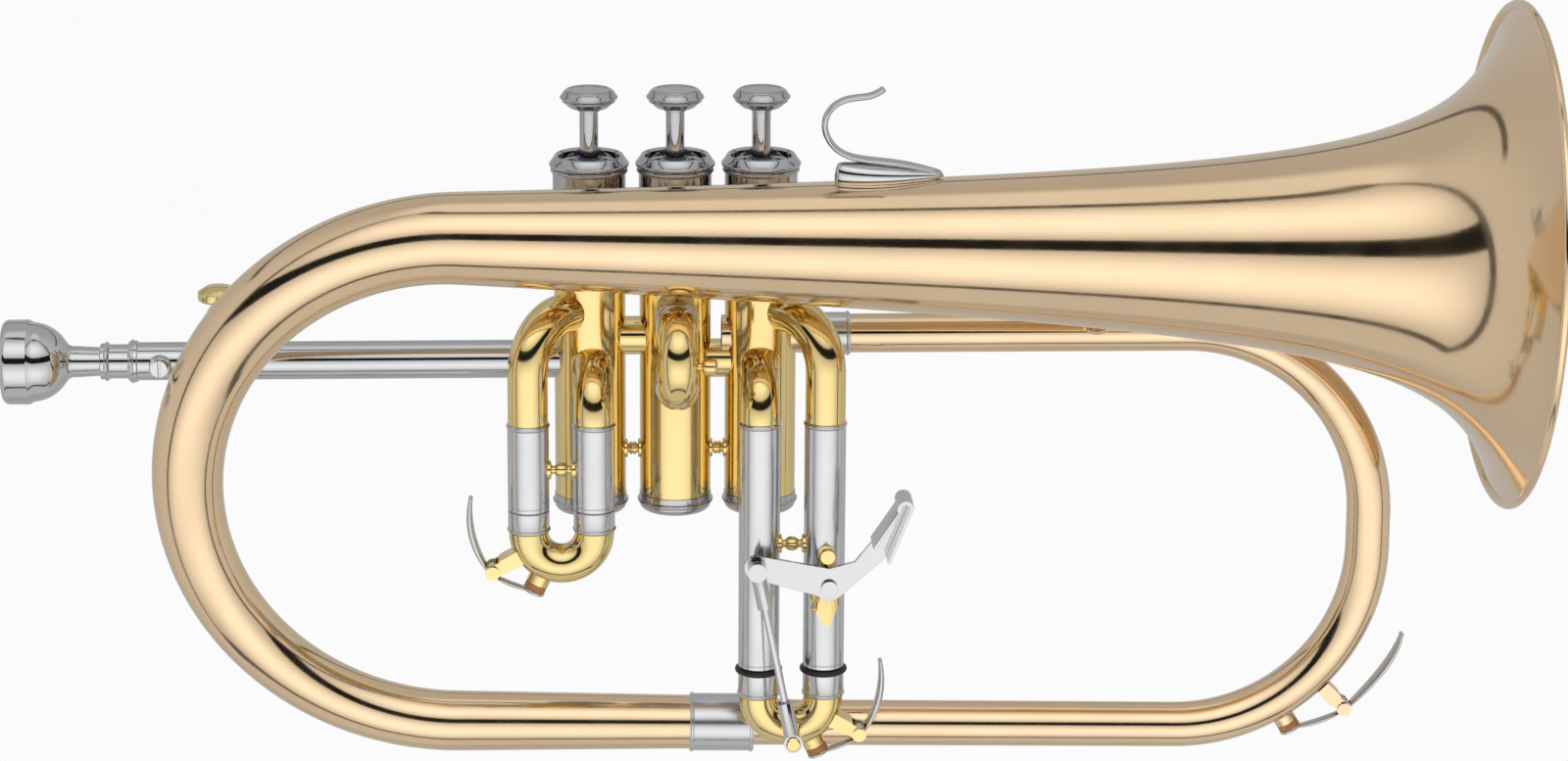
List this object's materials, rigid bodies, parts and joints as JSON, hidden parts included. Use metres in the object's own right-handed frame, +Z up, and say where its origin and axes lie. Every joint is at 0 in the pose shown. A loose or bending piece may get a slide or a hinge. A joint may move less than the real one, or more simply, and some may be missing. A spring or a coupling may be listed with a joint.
{
  "type": "flugelhorn",
  "caption": "Brass flugelhorn with piston valves, tuning slides, a third-slide trigger, water keys, a finger hook and a removable mouthpiece.",
  "frame": {"origin": "on the axis of the second valve, at the height of the mouthpipe's axis", "axes": "+Z up the valves, +X along the mouthpipe towards the bell's mouth, +Y away from the bell's side"},
  "size_m": [0.4548, 0.152, 0.2405],
  "materials": {
    "rose_brass": "clear-lacquered rose brass, polished",
    "yellow_brass": "clear-lacquered yellow brass, polished",
    "nickel_silver": "satin nickel silver",
    "silver_plate": "bright silver plate",
    "nickel_plate": "bright nickel plate",
    "piston_alloy": "fine-ground nickel alloy",
    "spring_steel": "drawn spring wire",
    "gold_lacquer": "lacquered, knurled",
    "felt": "pressed felt",
    "rubber": "smooth black rubber",
    "cork": "natural cork"
  },
  "bodies": {
    "horn": {"valve_casing_1": "yellow_brass", "valve_spring_1": "spring_steel", "valve_casing_2": "yellow_brass", "valve_spring_2": "spring_steel", "valve_casing_3": "yellow_brass", "valve_spring_3": "spring_steel", "top_caps": "nickel_plate", "bottom_caps": "nickel_plate", "cap_felts": "felt", "crossover_tubes": "yellow_brass", "casing_stays": "yellow_brass", "first_knuckles": "yellow_brass", "first_sleeves": "nickel_silver", "third_knuckles": "yellow_brass", "third_sleeves": "nickel_silver", "sleeve_stays": "yellow_brass", "second_sleeves": "nickel_silver", "mouthpipe": "silver_plate", "bell_flare": "rose_brass", "bell_rim_wire": "rose_brass", "bell_bow": "rose_brass", "main_branch": "rose_brass", "bow_ferrule": "nickel_silver", "exit_ferrule": "nickel_silver", "trigger_bracket": "yellow_brass", "trigger_pivot_screw": "silver_plate", "trigger_spring": "spring_steel", "main_key_bracket": "rose_brass", "finger_hook": "silver_plate", "lyre_socket": "yellow_brass", "bell_braces": "rose_brass"},
    "valve_1": {"piston_1": "piston_alloy", "finger_button_1": "nickel_plate"},
    "valve_2": {"piston_2": "piston_alloy", "finger_button_2": "nickel_plate"},
    "valve_3": {"piston_3": "piston_alloy", "finger_button_3": "nickel_plate"},
    "first_slide": {"first_slide_legs": "nickel_silver", "first_slide_bow": "yellow_brass", "first_key_bracket": "yellow_brass"},
    "first_key": {"first_key_lever": "silver_plate", "first_key_cork": "cork"},
    "second_slide": {"second_slide_legs": "nickel_silver", "second_slide_bow": "yellow_brass"},
    "third_slide": {"third_slide_legs": "nickel_silver", "third_slide_bow": "yellow_brass", "third_slide_o_rings": "rubber", "third_key_bracket": "yellow_brass"},
    "third_key": {"third_key_lever": "silver_plate", "third_key_cork": "cork"},
    "main_key": {"main_key_lever": "silver_plate", "main_key_cork": "cork"},
    "trigger": {"trigger_lever": "silver_plate"},
    "link_rod": {"link_rod": "silver_plate"},
    "tuning_pipe": {"tuning_pipe": "silver_plate"},
    "mouthpiece": {"mouthpiece": "silver_plate"},
    "set_screw": {"set_screw": "silver_plate"},
    "lyre_screw": {"lyre_screw": "gold_lacquer"}
  },
  "joints": [
    {"name": "valve_1_press", "type": "slide", "parent": "horn", "child": "valve_1", "axis": [0, 0, -1], "range_m": [0, 0.014], "stiffness_N_per_m": 200, "springref_m": -0.012, "deforming": ["valve_spring_1"]},
    {"name": "valve_2_press", "type": "slide", "parent": "horn", "child": "valve_2", "axis": [0, 0, -1], "range_m": [0, 0.014], "stiffness_N_per_m": 200, "springref_m": -0.012, "deforming": ["valve_spring_2"]},
    {"name": "valve_3_press", "type": "slide", "parent": "horn", "child": "valve_3", "axis": [0, 0, -1], "range_m": [0, 0.014], "stiffness_N_per_m": 200, "springref_m": -0.012, "deforming": ["valve_spring_3"]},
    {"name": "first_slide_pull", "type": "slide", "parent": "horn", "child": "first_slide", "axis": [0, 0, -1], "range_m": [0, 0.018]},
    {"name": "second_slide_pull", "type": "slide", "parent": "horn", "child": "second_slide", "axis": [0, -1, 0], "range_m": [0, 0.008]},
    {"name": "third_slide_pull", "type": "slide", "parent": "horn", "child": "third_slide", "axis": [0, 0, -1], "range_m": [0, 0.0125], "stiffness_N_per_m": 60, "springref_m": -0.02},
    {"name": "trigger_turn", "type": "hinge", "parent": "horn", "child": "trigger", "pos_m": [0.0457, -0.0316, -0.0635], "axis": [0, -1, 0], "range_deg": [0, 34]},
    {"name": "link_rod_swing", "type": "hinge", "parent": "third_slide", "child": "link_rod", "pos_m": [0.0349, -0.0359, -0.1115], "axis": [0, -1, 0], "range_deg": [0, 1]},
    {"name": "first_key_lift", "type": "hinge", "parent": "first_slide", "child": "first_key", "pos_m": [-0.05583, -0.021, -0.06046], "axis": [0, 1, 0], "range_deg": [0, 14], "stiffness_Nm_per_rad": 0.02, "springref_deg": -20.05},
    {"name": "third_key_lift", "type": "hinge", "parent": "third_slide", "child": "third_key", "pos_m": [0.05583, -0.021, -0.11376], "axis": [0, -1, 0], "range_deg": [0, 14], "stiffness_Nm_per_rad": 0.02, "springref_deg": -20.05},
    {"name": "main_key_lift", "type": "hinge", "parent": "horn", "child": "main_key", "pos_m": [0.20859, -0.00464, -0.11315], "axis": [0, -1, 0], "range_deg": [0, 14], "stiffness_Nm_per_rad": 0.02, "springref_deg": -20.05},
    {"name": "tuning_pipe_pull", "type": "slide", "parent": "horn", "child": "tuning_pipe", "axis": [-1, 0, 0], "range_m": [0, 0.025]},
    {"name": "mouthpiece_pull", "type": "slide", "parent": "tuning_pipe", "child": "mouthpiece", "axis": [-1, 0, 0], "range_m": [0, 0.02]},
    {"name": "set_screw_turn", "type": "hinge", "parent": "horn", "child": "set_screw", "pos_m": [-0.1556, 0, 0], "axis": [0, -1, 0], "continuous": true},
    {"name": "lyre_screw_turn", "type": "hinge", "parent": "horn", "child": "lyre_screw", "pos_m": [-0.1385, 0.007, 0.0104], "axis": [0, 0, 1], "continuous": true}
  ],
  "couplings": [
    {"joint": "trigger_turn", "follows": "third_slide_pull", "rad_per_m": 46},
    {"joint": "link_rod_swing", "follows": "third_slide_pull", "rad_per_m": 0.8}
  ]
}
